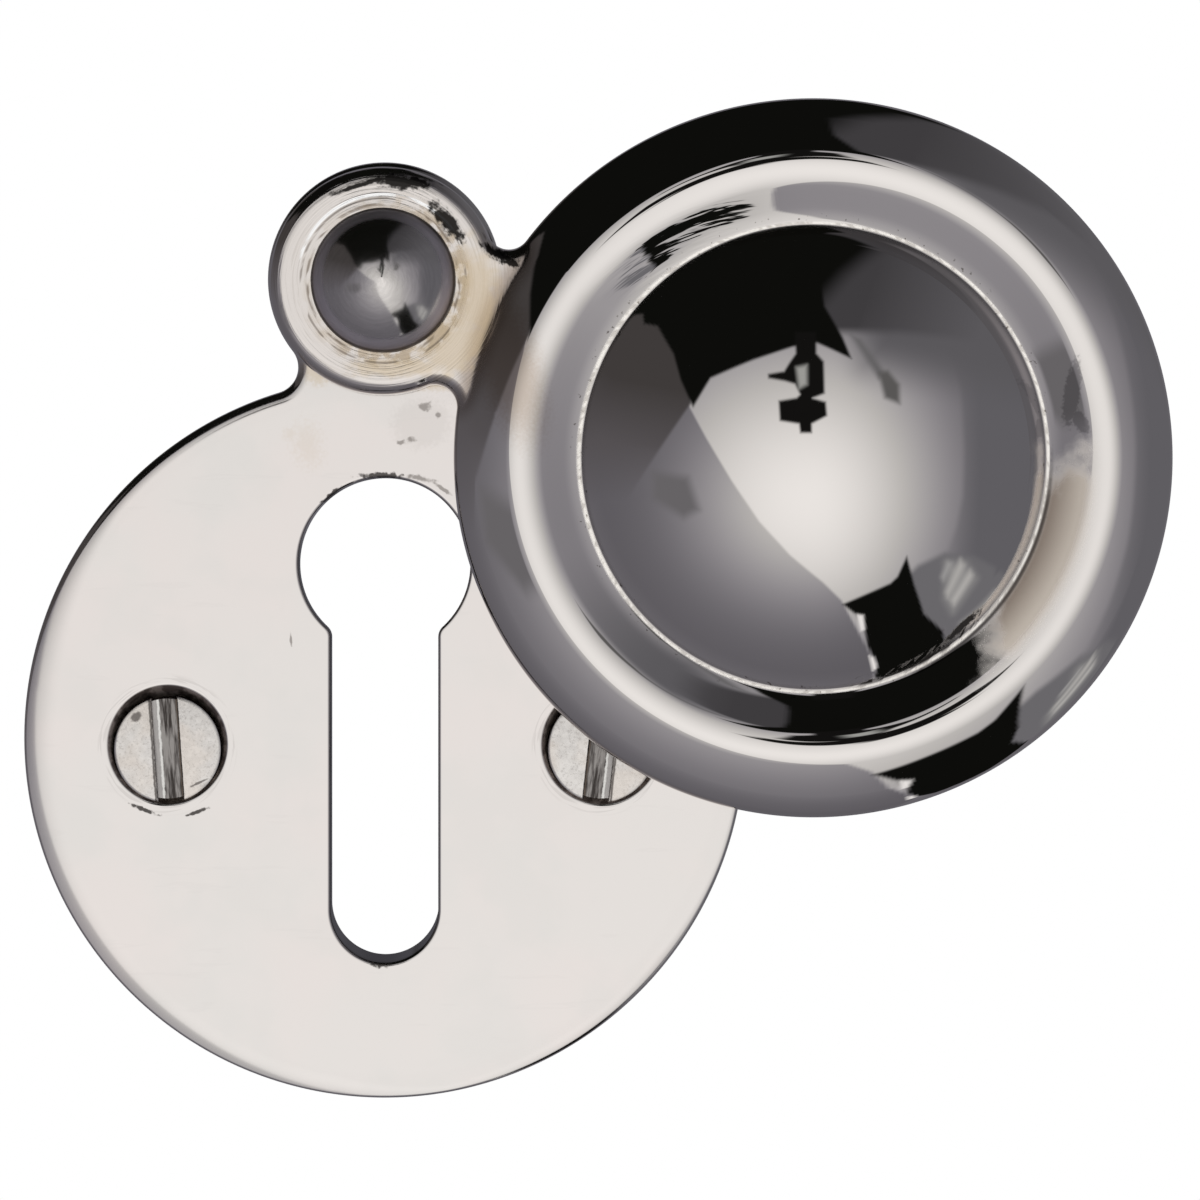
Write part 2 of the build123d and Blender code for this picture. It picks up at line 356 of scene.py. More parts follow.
def makeCover(material):
    s = coverSizes
    outer, inner, domeCentre, domeRadius = coverSection()
    fine = walkArcs(outer[0][0], outer[0][1], 1, s["outerArcs"], 12)
    fineX, fineZ = [p[0] for p in fine], [p[1] for p in fine]

    def height(x, y, depth=2.0):  # the moulding or the ear's flat, whichever stands higher
        r = hypot(x, y)
        sunk = max(0.0, s["edgeRound"] - depth)
        flat = s["earThick"] - s["edgeRound"] + sqrt(s["edgeRound"] ** 2 - sunk**2)
        if r >= s["radius"] + 1e-9:
            return flat
        moulding = float(np.interp(r, fineX, fineZ))
        soft = s["earFoot"] * min(1.0, max(0.02, (depth - 0.4) / 0.4))
        near = max(0.0, 1 - abs(moulding - flat) / soft)
        return max(moulding, flat) + near**2 * soft / 4

    # It is built as it hangs closed, its disc about the origin, and swung open at the end.
    bm = bmesh.new()
    counts = (184, 30, 560)
    runs, alpha, beta = discAndLug(s["radius"], s["earRadius"], s["earDistance"], s["neckRound"], counts)
    columns = [c for run in runs for c in run[:-1]]
    depths = [s["edgeRound"] * (1 - sin(radians(a))) for a in range(90, -1, -6)] + [0.8, 0.9, 0.964]
    edgeRow = depths[-1]

    def ring(columns, depth):
        return [(x, y, height(x, y, depth)) for x, y in (inset(c, depth) for c in columns)]

    rows = [[(*inset(c, depth), z) for c in columns] for depth, z in roundRows(s["backRound"], 3)]
    addSheet(bm, rows + [ring(columns, depth) for depth in depths])

    # the disc's own part, from the edge's rows in to the crest
    discRun = runs[2]
    start = s["radius"] - edgeRow
    radii = [start] + sorted((x for x, _ in outer if x < start - 1e-6), reverse=True)
    crestRows = [[(r * c[3], r * c[4], float(np.interp(r, fineX, fineZ))) for c in discRun] for r in radii]
    addSheet(bm, crestRows, closed=False)

    # from the crest in to the top of the dome, all the way round
    earAngles = steps(quarter - alpha, quarter + alpha, 52)
    around = [(cos(a), sin(a)) for a in earAngles[:-1]] + [c[3:5] for c in discRun[:-1]]
    domeRows = [[(r * a, r * b, z) for a, b in around] for r, z in inner if r > 0]
    addSheet(bm, domeRows)
    addTip(bm, domeRows[-1], (0, 0, inner[-1][1]))

    # the ear's flat inside its rounding, and the neck between it and the crest
    earRows = [[(*inset(c, depth), s["earThick"]) for c in runs[0]]
               for depth in steps(edgeRow, s["earRadius"] - s["recessRadius"], 3)]
    addSheet(bm, earRows, closed=False)
    facing = [(cos(a), sin(a)) for a in steps(3 * quarter - beta, 3 * quarter + beta, 62)]
    recess, pinUp, flat = s["recessRadius"], s["earDistance"], s["earThick"]
    recessArc = [(recess * a, pinUp + recess * b, flat) for a, b in facing]
    crestArc = [(radii[-1] * cos(a), radii[-1] * sin(a), crestRows[-1][0][2]) for a in earAngles]
    border = recessArc + [earRows[2][0], earRows[1][0]]
    border += ring(runs[3], edgeRow)[::-1] + [row[-1] for row in crestRows[1:-1]]
    border += crestArc + [row[0] for row in crestRows[-2:0:-1]]
    border += ring(runs[1], edgeRow)[::-1] + [earRows[1][-1], earRows[2][-1]]
    inside = []
    grid, clear = 0.09, 0.05  # how far apart the inner points are, and how far from the border
    for r in np.arange(radii[-1] + grid, s["earDistance"] - s["recessRadius"] + 3.0, grid):
        for a in np.arange(quarter - alpha, quarter + alpha, grid / r):
            x, y = r * cos(a), r * sin(a)
            fromPin = hypot(x, y - pinUp)
            towards = atan2(abs(x), pinUp - y)
            fromNeck = min(hypot(x - c[0], y - c[1]) for c in (runs[1][0], runs[3][0]))
            if (fromPin > recess + clear and fromNeck > s["neckRound"] + edgeRow + clear
                    and towards < beta - clear / fromPin and abs(a - quarter) < alpha - clear / r):
                inside.append((float(x), float(y)))
    addPatch(bm, border, inside, height)

    # the pin's recess and bore, the flat back and the hollow behind the dome
    recessRing = [(x, y) for x, y, _ in earRows[-1][:-1] + recessArc[:-1]]
    floor = flat - s["recessDepth"]
    addSheet(bm, [[(x, y, z) for x, y in recessRing] for z in (flat, floor + 0.03, floor)])
    bore = [circle(0, pinUp, s["boreRadius"], z, 64) for z in (floor, 0)]
    addSheet(bm, bore)
    addFlat(bm, [[(x, y, floor) for x, y in recessRing], bore[0]])
    hollowRadius = domeRadius - s["domeWall"]
    mouthTurn = acos(-domeCentre / hollowRadius)
    hollow = [circle(0, 0, hollowRadius * sin(a), domeCentre + hollowRadius * cos(a), 160)
              for a in steps(mouthTurn, 0, 36)[:-1]]
    addSheet(bm, hollow)
    addTip(bm, hollow[-1], (0, 0, domeCentre + hollowRadius))
    addFlat(bm, [rows[0], hollow[0], bore[1]])

    turn = radians(s["swing"])
    for v in bm.verts:
        x, y, z = v.co.x / mm, v.co.z / mm - s["earDistance"], -v.co.y / mm
        v.co = standUp(x * cos(turn) - y * sin(turn),
                       s["pivotUp"] + x * sin(turn) + y * cos(turn), z + s["base"])
    mesh = closeMesh(bm, "coverMesh")
    return finishPiece("coverPiece", mesh, "cover", material, ["cover"])


# ---- pivot pin

pinSizes = {
    "up": 21.36, "shank": 1.5, "tail": 2.2, "headBase": 4.22, "headRadius": 3.3,
    "rim": 1.2, "tipSlope": 10, "edgeSlope": 46, "rimFrom": 2.72,
}


def makePin(material):
    s = pinSizes
    tip, edge = radians(s["tipSlope"]), radians(s["edgeSlope"])
    domeRadius = (s["headRadius"] - s["rim"] * (1 - sin(edge))) / (sin(edge) - sin(tip))
    apex = s["headBase"] + s["rim"] * cos(edge) + domeRadius * (cos(tip) - cos(edge))
    arcs = [(domeRadius, s["tipSlope"], s["edgeSlope"]), (s["rim"], s["edgeSlope"], 90)]
    head = walkArcs(0, apex, 1, arcs, 0.8)
    section = [(0, 0), (s["tail"], 0), (s["shank"], s["tail"] - s["shank"]), (s["shank"], s["headBase"])]
    section += [(s["headRadius"] - 0.15, s["headBase"])] + head[::-1]
    bm = bmesh.new()
    lathe(bm, section, 0, s["up"], 144)
    mesh = closeMesh(bm, "pinMesh")
    return finishPiece("pinPiece", mesh, "plate", material, ["pivot_pin"])


# ---- screws: Geometry Nodes cut the slot in a turned blank, wind the thread and set both screws

screwSizes = {
    "headRadius": 2.46, "edgeRound": 0.08, "neckRadius": 1.15, "rootRadius": 0.98, "threadRadius": 1.35,
    "pitch": 1.05, "length": 12.7, "tipLength": 3.0, "faceUp": 2.15,
    "slotWidth": 1.15, "slotDepth": 0.22, "slotEdge": 0.05,
    "apart": 19.85, "leftLean": 4.0, "rightLean": -6.5,
}


def screwTree():
    tree = bpy.data.node_groups.new("slottedScrews", "GeometryNodeTree")
    tree.interface.new_socket("Geometry", in_out="INPUT", socket_type="NodeSocketGeometry")
    for name in ("headRadius", "threadRadius", "rootRadius", "pitch", "length", "tipLength", "faceUp",
                 "slotWidth", "slotDepth", "slotEdge", "apart", "leftLean", "rightLean"):
        tree.interface.new_socket(name, in_out="INPUT", socket_type="NodeSocketFloat")
    tree.interface.new_socket("finish", in_out="INPUT", socket_type="NodeSocketMaterial")
    tree.interface.new_socket("Geometry", in_out="OUTPUT", socket_type="NodeSocketGeometry")
    given = addNode(tree, "NodeGroupInput").outputs

    # the slot's cutter, and a flared one that breaks the slot's sharp edges
    long = addNode(tree, maths, [given["headRadius"], 4.0], times)
    past = addNode(tree, maths, [given["slotDepth"], 2.0], times)
    size = addNode(tree, vector, [given["slotWidth"], long, past])
    box = addNode(tree, "GeometryNodeMeshCube", {"Size": size})
    flareBy = addNode(tree, maths, [given["slotEdge"], 2.0], times)
    size = addNode(tree, vector, [given["slotWidth"], long, flareBy])
    flare = addNode(tree, "GeometryNodeMeshCube", {"Size": size})
    parts = addNode(tree, parted, [addNode(tree, "GeometryNodeInputPosition")]).outputs
    side = addNode(tree, maths, [parts[0]], {"operation": "SIGN"})
    spread = addNode(tree, vector, [addNode(tree, maths, [side, flareBy], times)])
    upper = addNode(tree, "FunctionNodeCompare", [parts[2], 0.0], {"operation": "GREATER_THAN"})
    flared = addNode(tree, "GeometryNodeSetPosition", {
        "Geometry": flare, "Selection": upper, "Offset": spread})
    slotted = addNode(tree, "GeometryNodeMeshBoolean", [given["Geometry"]], {
        "operation": "DIFFERENCE", "solver": "EXACT"})
    for cutter in (box, flared):
        tree.links.new(cutter.outputs[0], slotted.inputs[1])

    # the thread: a three-sided ridge wound down the shank, and on down the tip as it narrows
    buried = addNode(tree, maths, [given["length"], given["faceUp"]], less)
    shankLength = addNode(tree, maths, [buried, given["tipLength"]], less)
    middle = addNode(tree, maths, [given["rootRadius"], given["threadRadius"]], plus)
    middle = addNode(tree, maths, [middle, 0.5], times)
    ridge = addNode(tree, maths, [given["threadRadius"], middle], less)
    profile = addNode(tree, "GeometryNodeCurvePrimitiveCircle", {"Resolution": 3, "Radius": ridge})
    shank = addNode(tree, "GeometryNodeCurveSpiral", {
        "Resolution": 40, "Rotations": addNode(tree, maths, [shankLength, given["pitch"]], over),
        "Start Radius": middle, "End Radius": middle, "Height": shankLength, "Reverse": True})
    tipRise = addNode(tree, maths, [given["tipLength"], 0.9], times)
    tip = addNode(tree, "GeometryNodeCurveSpiral", {
        "Resolution": 40, "Rotations": addNode(tree, maths, [given["tipLength"], given["pitch"]], over),
        "Start Radius": addNode(tree, maths, [ridge, 0.5], times), "End Radius": middle,
        "Height": tipRise, "Reverse": True})
    along = addNode(tree, "GeometryNodeSplineParameter").outputs["Factor"]
    # the run nearer the head fades out into the shank, and the other narrows towards the point
    fading = addNode(tree, mapped, {"Value": along, "From Min": 0.9, "To Min": 1.0, "To Max": 0.1})
    narrow = addNode(tree, mapped, {"Value": along, "From Max": 0.6, "To Min": 0.3})
    tipTop = addNode(tree, maths, [given["tipLength"], given["length"]], less)
    tipStart = addNode(tree, maths, [tipTop, tipRise], less)
    whole = addNode(tree, "GeometryNodeJoinGeometry", [slotted])
    for curve, bottom, factor in ((shank, tipTop, fading), (tip, tipStart, narrow)):
        sized = addNode(tree, "GeometryNodeSetCurveRadius", {"Curve": curve, "Radius": factor})
        swept = addNode(tree, "GeometryNodeCurveToMesh", {
            "Curve": sized, "Profile Curve": profile, "Fill Caps": True})
        thread = addNode(tree, "GeometryNodeTransform", {
            "Geometry": swept, "Translation": addNode(tree, vector, {2: bottom})})
        tree.links.new(thread.outputs[0], whole.inputs[0])

    # two points, one over each hole, with a lean for each slot
    right = addNode(tree, maths, [given["apart"], 0.5], times)
    left = addNode(tree, maths, [right, -1.0], times)
    line = addNode(tree, "GeometryNodeMeshLine", {
        "Count": 2, "Start Location": addNode(tree, vector, {0: left, 2: given["faceUp"]}),
        "Offset": addNode(tree, vector, {0: right, 2: given["faceUp"]})}, {"mode": "END_POINTS"})
    lean = addNode(tree, "GeometryNodeInputIndex")
    lean = addNode(tree, mapped, {"Value": lean, "To Min": given["leftLean"], "To Max": given["rightLean"]})
    lean = addNode(tree, maths, [lean], {"operation": "RADIANS"})
    spun = addNode(tree, "GeometryNodeInstanceOnPoints", {
        "Points": line, "Instance": whole, "Rotation": addNode(tree, vector, {2: lean})})
    stood = addNode(tree, "GeometryNodeTransform", {
        "Geometry": spun, "Rotation": (quarter, 0.0, 0.0), "Scale": (mm, mm, mm)})
    real = addNode(tree, "GeometryNodeRealizeInstances", {"Geometry": stood})
    dressed = addNode(tree, "GeometryNodeSetMaterial", {"Geometry": real, "Material": given["finish"]})
    addNode(tree, "NodeGroupOutput", {"Geometry": dressed})
    return tree


# The rim of a screw's head, inwards and down in lengths of its edge's round.
headEdgeShape = [(2, 0), (0.8, 0.15), (0.25, 0.5), (0.15, 1.1)]


def makeScrews(material):
    s = screwSizes
    head, neck, root, edge, count = s["headRadius"], s["neckRadius"], s["rootRadius"], s["edgeRound"], 96
    section = [(head - out * edge, -down * edge) for out, down in headEdgeShape]
    section += [(neck, neck - head), (neck, -s["faceUp"]), (root, -s["faceUp"] - 0.25),
                (root, s["tipLength"] - s["length"])]
    bm = bmesh.new()
    grid = [[bm.verts.new(p) for p in circle(0, 0, r, z, count)] for r, z in section]
    turns = [(i, (i + 1) % count) for i in range(count)]
    for low, high in zip(grid, grid[1:]):
        for i, j in turns:
            bm.faces.new((low[i], low[j], high[j], high[i]))
    bm.faces.new(grid[0])
    tip = bm.verts.new((0, 0, -s["length"]))
    for i, j in turns:
        bm.faces.new((grid[-1][i], grid[-1][j], tip))
    bmesh.ops.recalc_face_normals(bm, faces=bm.faces)
    blank = bpy.data.meshes.new("screwBlank")
    bm.to_mesh(blank)
    bm.free()
    maker = linkObject("screwMaker", blank)
    modifier = maker.modifiers.new("screws", "NODES")
    modifier.node_group = screwTree()
    given = {**s, "finish": material}
    for item in modifier.node_group.interface.items_tree:
        if item.name in given:
            modifier[item.identifier] = given[item.name]
    bpy.context.view_layer.update()
    mesh = bpy.data.meshes.new_from_object(maker.evaluated_get(bpy.context.evaluated_depsgraph_get()))
    maker.modifiers.remove(modifier)
    bpy.data.objects.remove(maker)
    mesh.name = "screwMesh"
    # each point's place on its own screw: across the slot, along it and out of the head, in mm
    layer = mesh.attributes.new("slotPlace", "FLOAT_VECTOR", "POINT")
    for v in mesh.vertices:
        side = 1 if v.co.x > 0 else -1
        lean = radians(s["rightLean"] if side > 0 else s["leftLean"])
        x, up = v.co.x / mm - side * s["apart"] / 2, v.co.z / mm
        across = -side * (x * cos(lean) + up * sin(lean))
        layer.data[v.index].vector = (across, up * cos(lean) - x * sin(lean),
                                      -v.co.y / mm - s["faceUp"])
    return finishPiece("screwPiece", mesh, "plate", material, ["left_screw", "right_screw"])


# ---- finishes. Everything is brass, plated with nickel and buffed, then used for years.

nickelTint = "#e4dfdb"  # nickel is a shade warmer than chromium
anyDepth = 1e3  # so large a size that how deep a point lies doesn't count


def startMaterial(name):
    material = bpy.data.materials.new(name)
    material.use_nodes = True
    tree = material.node_tree
    tree.nodes.clear()
    return material, tree


# Each relief has a height, how deep it goes in metres, and how much of it shows.
def finishShader(tree, colour, roughness, reliefs, metallic=1.0):
    waves = {}
    for height, depth, strength in reliefs:
        links = {"Height": height, "Distance": depth, "Strength": strength, **waves}
        waves = {"Normal": addNode(tree, "ShaderNodeBump", links)}
    shader = addNode(tree, "ShaderNodeBsdfPrincipled", {
        "Base Color": colour, "Metallic": metallic, "Roughness": roughness, **waves})
    addNode(tree, "ShaderNodeOutputMaterial", {"Surface": shader})


def about(tree, x, up, wide=1.0, high=1.0, turn=0.0):  # coordinates about a place, in its own sizes in mm
    here = addNode(tree, "ShaderNodeTexCoord").outputs["Object"]
    return addNode(tree, mapping, {
        "Vector": here, "Location": (x * mm, 0, up * mm), "Rotation": (0, -radians(turn), 0),
        "Scale": (wide * mm, anyDepth, high * mm)}, {"vector_type": "TEXTURE"})


def distanceFrom(tree, *place):  # how far a point is from a place, or from its middle in its own sizes
    return addNode(tree, vectorMaths, [about(tree, *place)], lengthOf).outputs["Value"]


def grain(tree, perMillimetre, detail=3.0, shift=0.0, stretch=(1, 1, 1)):  # cloudy noise, 0 to 1
    here = addNode(tree, "ShaderNodeTexCoord").outputs["Object"]
    scaled = addNode(tree, mapping, {"Vector": here, "Location": (shift, shift, shift), "Scale": stretch})
    return addNode(tree, noise, {"Vector": scaled, "Scale": perMillimetre / mm, "Detail": detail})


# 1 where a value lies between two limits, 0 outside them and outside another mask. None is no limit.
def band(tree, value, low, high, soft, within=None):
    masks = []
    for limit, before in ((low, 0.0), (high, 1.0)):
        if limit is not None:
            masks.append(addNode(tree, mapped, {
                "Value": value, "From Min": limit - soft, "From Max": limit + soft,
                "To Min": before, "To Max": 1 - before}, smooth))
    masks += [within] if within else []
    whole = masks[0]
    for mask in masks[1:]:
        whole = addNode(tree, maths, [whole, mask], times)
    return whole


# 1 on any of a list of spots and inside another mask. Clouds make the spots ragged.
def marks(tree, places, clouds=0.5, ragged=0.0, soft=0.15, within=None):
    whole = None
    for place in places:
        torn = addNode(tree, maths, [clouds, ragged, distanceFrom(tree, *place)], timesPlus)
        spot = band(tree, torn, None, 1 + ragged / 2, soft)
        whole = addNode(tree, maths, [whole, spot], most) if whole else spot
    return addNode(tree, maths, [whole, within], times) if within else whole


# Lays colours or numbers over one another. Each layer has where it goes and how much of it shows.
def paint(tree, under, *layers):
    for layer, mask, *strength in layers:
        amount = addNode(tree, maths, [mask, strength[0] if strength else 1.0], times)
        if isinstance(layer, float):
            under = addNode(tree, "ShaderNodeMix", {0: amount, 2: under, 3: layer})
        else:
            under, layer = [hexColour(c) if isinstance(c, str) else c for c in (under, layer)]
            mixed = addNode(tree, "ShaderNodeMix", {0: amount, 6: under, 7: layer}, {"data_type": "RGBA"})
            under = mixed.outputs[2]
    return under


def patches(tree, low, soft, *clouds):  # 1 where cloudy noise is thick
    return band(tree, grain(tree, *clouds), low, None, soft)


def facingDoor(tree):  # 1 on what faces the door, 0 elsewhere
    outward = addNode(tree, "ShaderNodeTexCoord").outputs["Normal"]
    return band(tree, addNode(tree, parted, [outward]).outputs[1], 0.3, None, 0.1)


def roughBack(tree, colour, roughness):  # plating on a back that no wheel has reached, dull and spotted
    back = facingDoor(tree)
    spots = patches(tree, 0.5, 0.15, 1.2, 5.0, 0.9)
    cast = paint(tree, "#aaa39d", ("#7f776f", spots, 0.4))
    return paint(tree, colour, (cast, back)), paint(tree, roughness, (0.42, back))


def ringClouds(tree, x, up, outward, round):  # noise drawn out along the rings about a place
    local = about(tree, x, up)
    far = addNode(tree, vectorMaths, [local], lengthOf).outputs["Value"]
    way = addNode(tree, vectorMaths, [local], {"operation": "NORMALIZE"})
    way = addNode(tree, vectorMaths, {0: way, "Scale": round}, {"operation": "SCALE"})
    far = addNode(tree, maths, [far, outward], times)
    where = addNode(tree, vectorMaths, [way, far], plus)
    return addNode(tree, noise, {"Vector": where, "Scale": 1.0, "Detail": 3.0})


wearAndShade = {  # x, up, half width, half height and turn, in millimetres and degrees
    "pits": [(1.85, 15.66, 0.24, 0.2, 0), (1.22, 14.13, 0.17, 0.12, 0), (0.76, 14.04, 0.16, 0.1, 0),
             (2.5, 15.25, 0.12, 0.14, 0), (1.31, 16.47, 0.07, 0.1, 0), (-4.27, 5.0, 0.045, 0.27, 4),
             (1.6, 12.4, 0.62, 0.1, -12), (2.6, 11.95, 0.5, 0.08, -36)],
    "scrapes": [(-0.15, 12.5, 0.9, 0.13, 1), (-2.35, 11.7, 0.55, 0.1, 40), (-10.95, -2.78, 0.66, 0.09, -22),
                (-8.55, -2.87, 0.5, 0.08, 20), (-0.2, -9.86, 0.3, 0.14, 0)],
    "shadow": [(1.7, 14.9, 1.3, 1.1, 10)],
    "tarnish": [(0.4, 17.0, 3.6, 0.5, -4), (-3.0, 17.6, 0.8, 0.9, 0)],
    "spots": [(-3.5, 13.9, 0.55, 0.85, 10), (-4.3, 14.4, 0.3, 0.25, 0)],
    # the keyhole's wall, where painted shade goes
    "keyhole": [(0, 1.0, 5.7, 11.6, 0)],
    "earStains": [(0.85, 25.85, 1.25, 0.32, -6), (2.9, 24.05, 1.0, 0.32, -50), (-1.0, 25.7, 1.4, 0.12, 18)],
    "earSpecks": [(5.35, 22.5, 0.85, 0.2, -30), (5.8, 22.15, 0.5, 0.15, -12),
                  (4.85, 22.75, 0.34, 0.12, -50)],
    "earTarnish": [(4.3, 20.6, 0.9, 2.3, 4), (3.5, 18.4, 1.9, 1.1, 34), (0.6, 17.4, 2.2, 0.4, 2)],
    "earBrown": [(1.6, 20.46, 4.0, 4.6, 0)],
    "screwNicks": [(-11.36, 1.47, 0.26, 0.2, 20), (-8.5, -1.55, 0.4, 0.06, 25)],
}


# Plated brass plate, buffed flat: a mirror with the faint pink and grey clouds of thin plating,
# a few pits and scrapes, and dull walls in its screw holes that the wheel never reached, with painted shade
# on them and on the keyhole's wall.
def buffedNickelPlate():
    material, tree = startMaterial("buffedNickelPlate")
    s = plateSizes
    fine, torn = grain(tree, 6.0, 4.0), grain(tree, 3.6, 5.0, shift=0.2)
    buffing = grain(tree, 1.4, 5.0, 0.3, (0.12, 1, 1))  # fine scratches, drawn coarser than they are
    colour = paint(
        tree, nickelTint,
        ("#e8dfdb", patches(tree, 0.52, 0.12, 0.16, 2.0), 0.5),
        ("#dcdad6", patches(tree, 0.56, 0.1, 0.3, 3.0, 0.7), 0.3),
        ("#d6d1ce", band(tree, buffing, 0.64, 0.68, 0.02), 0.12))
    nearHole = None
    for side in (-1, 1):
        hole = (side * s["holeApart"] / 2, s["holeUp"])
        far = distanceFrom(tree, *hole)
        scuff = band(tree, ringClouds(tree, *hole, 5.0, 2.2), 0.56, None, 0.05)
        colour = paint(tree, colour, ("#b5afab", band(tree, far, 2.75, 3.15, 0.15, scuff), 0.3))
        inside = band(tree, far, None, s["sinkRadius"] + 0.02, 0.02)
        nearHole = addNode(tree, maths, [nearHole, inside], most) if nearHole else inside
    tarnish = marks(tree, wearAndShade["tarnish"], fine, 0.8, 0.35)
    dark = marks(tree, wearAndShade["scrapes"], torn, 2.8, 0.35)
    inward = addNode(tree, "ShaderNodeTexCoord").outputs["Object"]
    inward = addNode(tree, parted, [inward]).outputs[1]
    sunk = band(tree, inward, (0.02 - s["thick"]) * mm, None, 0.02 * mm, nearHole)
    # painted shade on the keyhole's wall below the face
    inKeyhole = marks(tree, wearAndShade["keyhole"], soft=0.05)
    inKeyhole = band(tree, inward, (0.08 - s["thick"]) * mm, None, 0.04 * mm, inKeyhole)
    # painted shade, mottled, on the screw holes' walls below the face
    holeWallShade = paint(tree, "#6f625a", ("#b5a89d", patches(tree, 0.5, 0.1, 2.2, 4.0)))
    colour = paint(
        tree, colour,
        ("#a9a29b", marks(tree, wearAndShade["shadow"], fine, 0.9, 0.3), 0.14),
        ("#cdb999", tarnish, 0.5),
        ("#c3a87e", marks(tree, wearAndShade["spots"], fine, 2.4, 0.9), 0.14),
        ("#857e79", marks(tree, wearAndShade["pits"], torn, 3.2, 0.5), 0.75),
        ("#453f3b", dark, 0.85),
        (holeWallShade, sunk, 0.95),
        ("#35302d", inKeyhole, 0.95))
    # the wheel left the edge a little less bright
    edge = band(tree, distanceFrom(tree, 0, s["centreUp"]), s["radius"] - 1.1, None, 0.2)
    roughness = paint(
        tree, 0.045, (0.5, dark), (0.4, sunk), (0.25, inKeyhole), (0.22, tarnish, 0.6), (0.13, edge))
    finishShader(tree, *roughBack(tree, colour, roughness), [(grain(tree, 0.25, 2.0), 6e-6, 0.5)])
    return material
